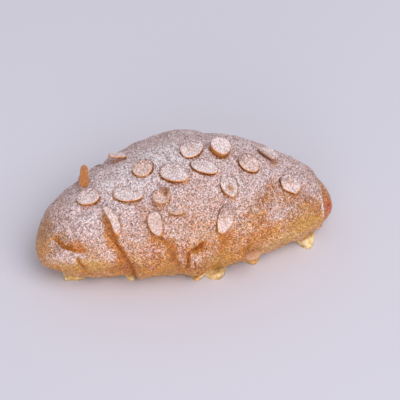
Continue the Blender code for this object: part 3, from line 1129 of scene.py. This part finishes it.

# %% [markdown]
# ## The crust's finish
#
# Under the sugar the crust is butter-glazed: golden where it is thin, deep orange in the
# creases, red-brown at the right tip. Seen close up, dusted pastry is salt and pepper: each
# grain of sugar or crumb is about as bright as chance makes it, while the hue changes only
# slowly from place to place. The darkest grains are painted shade of the pits between grains.
# So every cell of a fine Voronoi pattern gets three random numbers: how much sugar lies
# there, how bright it is and how yellow the crumbs between are.

# %% Paint the crust
GOLD = srgb(216, 148, 62)
AMBER = srgb(196, 112, 42)
HONEYED = srgb(214, 160, 70)
CREVICE = srgb(188, 106, 36)
CARAMEL = srgb(190, 68, 18)
FRECKLE = srgb(140, 80, 42)
# SHADE is a painted shadow on the crust just below a slice's lower edge
SHADE = srgb(126, 76, 42)
DUSTY = srgb(156, 106, 84)
CRUMB = srgb(232, 186, 110)
SUGAR = srgb(241, 220, 229)
GRAIN = 0.52 * MM
CLUMPING = 0.38  # how unevenly the sugar lies over a few millimetres
SCATTER = 0.25  # how much it differs from one grain to the next
WHITER = 0.3  # how much more of it the brighter grains hold
MEAN_LIGHT = 0.91  # brightness of a middling grain on the crust
NUT_LIGHT = 0.95  # and on an almond
GRAIN_TONE_AND_SHADE = 1.4  # from the darkest to the brightest grain: random tone, the darkest being painted shade
CLUMP_LIGHT = 0.12
YELLOWER = 0.5  # how far the hue of bare crumbs wanders


def thick_sugar(share):
    """How much of the colour below the sugar hides where it lies this thick."""
    return share.maths("POWER", share, 2.0) * 0.62


def dusting(finish, under, cover, contrast, light=MEAN_LIGHT):
    """Grains of sugar over a colour: how much sugar each holds, and its colour and painted shade.
    """
    sockets = {"Vector": finish.places(), "Scale": 1 / GRAIN, "Randomness": 1.0}
    cell = finish.node("TexVoronoi", {"feature": "F1"}, sockets, "Color")
    first, second, third = (part - 0.5 for part in finish.channels(cell))
    clumps = finish.grain(1.6 * MM, detail=2.0) - 0.5
    mask = (cover + first * SCATTER + second * WHITER + clumps * CLUMPING).clamp()
    light = (second * GRAIN_TONE_AND_SHADE + clumps * CLUMP_LIGHT) * contrast + light
    crumbs = finish.mix(third.maths("MAXIMUM", third, 0.0) * YELLOWER, under, CRUMB)
    return mask, finish.scaled(finish.mix(mask, crumbs, SUGAR), light), second


glaze = Finish("sugared_crust", Roughness=0.5)
share, groove, hollow = glaze.stored("bake")
bare, golden, caramel_and_shade = glaze.stored("tint")
under_slice_shadow = glaze.stored("edges")[0]
blotches = glaze.grain(4 * MM, detail=4.0, roughness=0.65)
streaks = glaze.grain(2.4 * MM, detail=3.0, stretch=(0.6, 2.5, 2.5))
freckles = glaze.grain(1.1 * MM, detail=3.0, roughness=0.7)
drifts = glaze.grain(7 * MM, detail=3.0)
pocks = glaze.grain(2.0 * MM, detail=3.0, roughness=0.6).step(0.5, 0.62) * bare * 3
skin = glaze.coats(
    GOLD,
    (blotches.step(0.42, 0.6), AMBER),
    (hollow.step(0.45, 1.1), AMBER),
    (golden * streaks.step(0.25, 0.6), HONEYED),
    (freckles.step(0.54, 0.66) * 0.5, FRECKLE),
    ((groove + pocks * 0.7).clamp(), CREVICE),
    # CARAMEL: the right tip's caramel, and painted shade at the slit's deep end and beside the
    # flap's end
    (caramel_and_shade * streaks.step(0.15, 0.45), CARAMEL),
)
dimmed = share.step(0.3, 1.0) * 0.8 - groove * 0.5 - caramel_and_shade
# Just below a slice's edge the crust is darkened to SHADE: a painted shadow. Sugar is kept off
# there too.
dusted = glaze.coats(skin, (dimmed.clamp(), DUSTY), (under_slice_shadow, SHADE))
cover = thick_sugar(share) + 0.02 + (drifts - 0.5) * 0.35 - (hollow - 0.5) * 0.18 - bare
kept_off = groove * 0.7 + pocks * 0.3 + caramel_and_shade * 1.6 + under_slice_shadow
contrast = share * 0.06 + 0.82 - golden * 0.2
mask, speckled, rough = dusting(glaze, dusted, cover - kept_off, contrast)
glaze.paint("Base Color", speckled)
glaze.paint("Roughness", 0.4 + mask * 0.5)
skin_bump = glaze.bump(streaks, 0.4 * MM, 0.6)
glaze.paint("Normal", glaze.bump(mask * 0.6 + rough * 0.4, 0.25 * MM, 0.8, skin_bump))
print("crust finish:", len(glaze.tree.nodes), "nodes")

# %% [markdown]
# The oven didn't bake it evenly. Three short lists name the patches where less sugar stuck
# (or more, if the strength is negative), where the crust is golden and where it has
# caramelised. A few of the patches with more sugar are painted highlights, and two of the
# caramel ones are painted shade. A patch has a place along the roll, an angle round it, a
# reach in both directions and a strength.

# %% Store how the crust is baked, and place it
BARE_AND_HIGHLIGHT_PATCHES = metres((
    (68, 12, 12, 24, 0.34),
    (46, 54, 6, 10, 0.25),
    (37, 45, 5, 9, 0.25),
    (31, 31, 6, 10, 0.25),
    (52, 38, 9, 12, 0.2),
    (62, 40, 8, 12, 0.2),
    (-62, -12, 14, 12, 0.2),
    (-24, -18, 12, 12, 0.2),
    (20, -14, 12, 12, 0.1),
    (10, -22, 9, 12, 0.15),
    (36, 12, 9, 12, 0.15),
    (-82, 85, 9, 50, 0.6),
    (-46, 33, 2.4, 12, 0.4),
    (0, 32, 13, 12, 0.12),
    (0, 54, 16, 16, 0.08),
    (-70, 14, 7, 13, -0.3),
    # painted highlight, laid on as extra sugar
    (-46, 10, 4, 7, -0.35),
    # painted highlight on the flap, laid on as extra sugar
    (-3.5, -8, 4, 9, -0.2),
    (-11, 0, 2, 14, -0.1),
    (-34, 92, 20, 26, -0.22),
    (-52, 42, 12, 20, -0.06),
    (-27, 44, 12, 14, 0.06),
    # painted highlight along the lip at the right tip, laid on as extra sugar
    (72.2, 22, 0.8, 22, -1.0),
    (-8, 94, 8, 12, -0.25),
    # painted highlight, laid on as extra sugar
    (-26, -12, 2, 4, -0.3),
    (77, 50, 4, 40, 0.55),
), 0, 2)
GOLDEN_PATCHES = metres((
    (62, 3, 14, 24, 1.0),
    (10, -22, 9, 16, 1.0),
    (-20, -22, 9, 10, 0.8),
    (-82, 85, 9, 60, 1.0),
    (-61, -6, 15, 16, 1.0),
    (-57, 8, 5, 7, 0.6),
    (44, -18, 16, 14, 0.9),
), 0, 2)
CARAMEL_AND_SHADE_PATCHES = metres((
    (77.6, 16, 2.6, 22, 1.3),
    # These two are painted shade: the deep end of the slit and the gap beside the flap's end
    (0, 7, 0.9, 3, 0.4),
    (0.8, -30, 1.4, 4, 0.8),
), 0, 2)
PAINTED_GLOW_HEIGHT = 7 * MM  # a painted glow: the crust is painted pale and golden this far up from the table

crust_piece = make_piece("crust", crust, glaze, "crust", "pastry")
store(crust_piece, "bake", [(lit, *bake) for lit, bake in zip(crust_sugar, baked)])
PATCH_LISTS = (BARE_AND_HIGHLIGHT_PATCHES, GOLDEN_PATCHES, CARAMEL_AND_SHADE_PATCHES)
tints = []
for vert, spot in zip(crust_piece.data.vertices, places):
    bare, golden, caramel_and_shade = (patchwork(patches, *spot) for patches in PATCH_LISTS)
    # Painted glow: light through the thin lower edge and off the table, laid on as golden crust
    golden += bell(vert.co.z / PAINTED_GLOW_HEIGHT)
    tints.append((bare, golden, caramel_and_shade))
store(crust_piece, "tint", tints)
store(crust_piece, "edges", [(shade, 0, 0) for shade in crust_slice_shadows])
print("crust has", sum(len(p.vertices) - 2 for p in crust_piece.data.polygons), "triangles")

# %% [markdown]
# ## The almonds' finish
#
# Blanched almond is cream with a faint grain along the nut. The oven browns the rim, and
# where skin was left on, that side is orange-brown. Sugar lies on them as on the crust.

# %% Paint and place the slices
NUT = srgb(230, 194, 174)
NUT_SHADE = srgb(216, 174, 152)
RIM = srgb(224, 150, 88)
SKIN = srgb(176, 104, 46)

almond = Finish("sliced_almond", Roughness=0.55)
share, rim, toast = almond.stored("bake")
buried = almond.stored("edges")[0]
grain = almond.grain(1.6 * MM, detail=3.0)
nut = almond.coats(
    NUT,
    (grain.step(0.35, 0.7), NUT_SHADE),
    # toast also holds the painted shade inside the curled slice's hole
    (toast, SKIN),
    (rim * (1 - toast * 0.6), RIM),
    (buried, DUSTY),
)
thin_sugar = share * 0.78
cover = thin_sugar - toast * 1.1 - rim * 0.4 + buried * (thick_sugar(share) - thin_sugar)
contrast = share * 0.45 + 0.15 + buried * 0.35
light = NUT_LIGHT - buried * (NUT_LIGHT - MEAN_LIGHT)
mask, speckled, rough = dusting(almond, nut, cover, contrast, light)
almond.paint("Base Color", speckled)
almond.paint("Roughness", 0.5 + mask * 0.45)
almond.paint("Normal", almond.bump(rough * 0.5 + grain, 0.15 * MM, 0.6))

for name in slice_nodes:
    bm, browns, buried, bare = slice_meshes[name]
    layers = [
        (landed * (1 - bare), brown, spot)
        for landed, (brown, spot) in zip(slice_sugar[name], browns)
    ]
    piece = make_piece("sliced_almond" + name[-3:], bm, almond, "sliced_almond", name)
    store(piece, "bake", layers)
    store(piece, "edges", [(depth, 0, 0) for depth in buried])
print(len(slice_nodes), "slices placed")

# %% [markdown]
# ## The cream's finish
#
# Boiled sugar and butter: yellow-amber, glossy and a little translucent, paler where it
# foamed at the edge of a lobe. The pale foam colour also paints a highlight on the lobes.

# %% Paint and place the cream
HONEY = srgb(214, 164, 76)
# FOAM_AND_HIGHLIGHT is pale foam, and also a painted highlight on the tallest lobe in front
FOAM_AND_HIGHLIGHT = srgb(244, 224, 178)
TOFFEE = srgb(198, 120, 46)
cream_finish = Finish(
    "almond_cream", Roughness=0.28, Subsurface_Weight=0.25, Subsurface_Scale=1.5 * MM
)
foam_and_highlight, toffee, _ = cream_finish.stored("bake")
cloud = cream_finish.grain(2.2 * MM, detail=3.0)
paste = cream_finish.coats(
    HONEY, (toffee * cloud.step(0.3, 0.5), TOFFEE), (foam_and_highlight * cloud.step(0.3, 0.6), FOAM_AND_HIGHLIGHT)
)
cream_finish.paint("Base Color", paste)
cream_finish.paint("Normal", cream_finish.bump(cloud, 0.5 * MM, 0.7))
cream_piece = make_piece("cream", cream, cream_finish, "almond_cream", "almond_cream")
# The first colour holds both foam and the painted highlight
store(cream_piece, "bake", [(pale, brown, 0) for pale, brown in cream_bakes])
print("cream placed")

# %% [markdown]
# ## Clumps of sugar
#
# Where sugar lies thick, some of it sticks together in grains big enough to see. They are
# real meshes, all in one piece: a low icosphere copied to random places on the crust, more
# often where more sugar landed. The sphere operator keeps the order of its points from run
# to run but not that of its faces, so the faces are sorted by their points first. Then the
# same seed gives the same grains each time.

# %% Scatter the clumps
CLUMPS = 5200
CLUMP_SMALL = 0.14 * MM
CLUMP_LARGE = 0.36 * MM
random.seed(11)


def surface_spots(piece, amounts, count):
    """Random points of a piece with their normals, denser where the amount is greater."""
    mesh = piece.data
    faces = sorted(mesh.polygons, key=lambda face: sorted(face.vertices))
    weights = []
    for face in faces:
        amount = sum(amounts[i] for i in face.vertices) / len(face.vertices)
        weights.append(face.area * amount**2)
    for face in random.choices(faces, weights, k=count):
        corners = [mesh.vertices[i].co for i in sorted(face.vertices)]
        shares = [random.random() for _ in corners]
        spot = sum((c * s for c, s in zip(corners, shares)), Vector()) / sum(shares)
        yield spot, face.normal


grain_shape = bmesh.new()
bmesh.ops.create_icosphere(grain_shape, subdivisions=1, radius=1)
corners = [v.co.copy() for v in grain_shape.verts]
sides = np.array([[v.index for v in f.verts] for f in grain_shape.faces])
grain_shape.free()
points, faces = [], []
for spot, normal in surface_spots(crust_piece, crust_sugar, CLUMPS):
    radius = lerp(CLUMP_SMALL, CLUMP_LARGE, random.random() ** 3)
    squash = Matrix.Diagonal((1, random.uniform(0.7, 1), random.uniform(0.5, 0.8)))
    turn = normal.to_track_quat("Z", "Y").to_matrix()
    spin = Matrix.Rotation(random.uniform(0, math.tau), 3, "Z")
    shape = turn @ spin @ squash * radius
    faces.append(sides + len(points))
    points.extend(spot + normal * (0.25 * radius) + shape @ corner for corner in corners)
clump_mesh = bpy.data.meshes.new("clumps")
clump_mesh.from_pydata(points, [], np.concatenate(faces).tolist())
clumps = bmesh.new()
clumps.from_mesh(clump_mesh)
sugar_finish = Finish("icing_sugar", Roughness=0.9)
frost = sugar_finish.grain(0.8 * MM, detail=1.0)
sugar_finish.paint("Base Color", sugar_finish.mix(frost, srgb(222, 204, 214), SUGAR))
clump_piece = make_piece("sugar_clumps", clumps, sugar_finish, "crust")
print(CLUMPS, "clumps,", len(clump_piece.data.polygons), "triangles")

# %% The sizes of the CAD and of the visual model
size = {"cad": [list(c) for c in cad_box], "visual": [list(c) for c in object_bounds()]}
print("size of the visual model:", size["visual"])
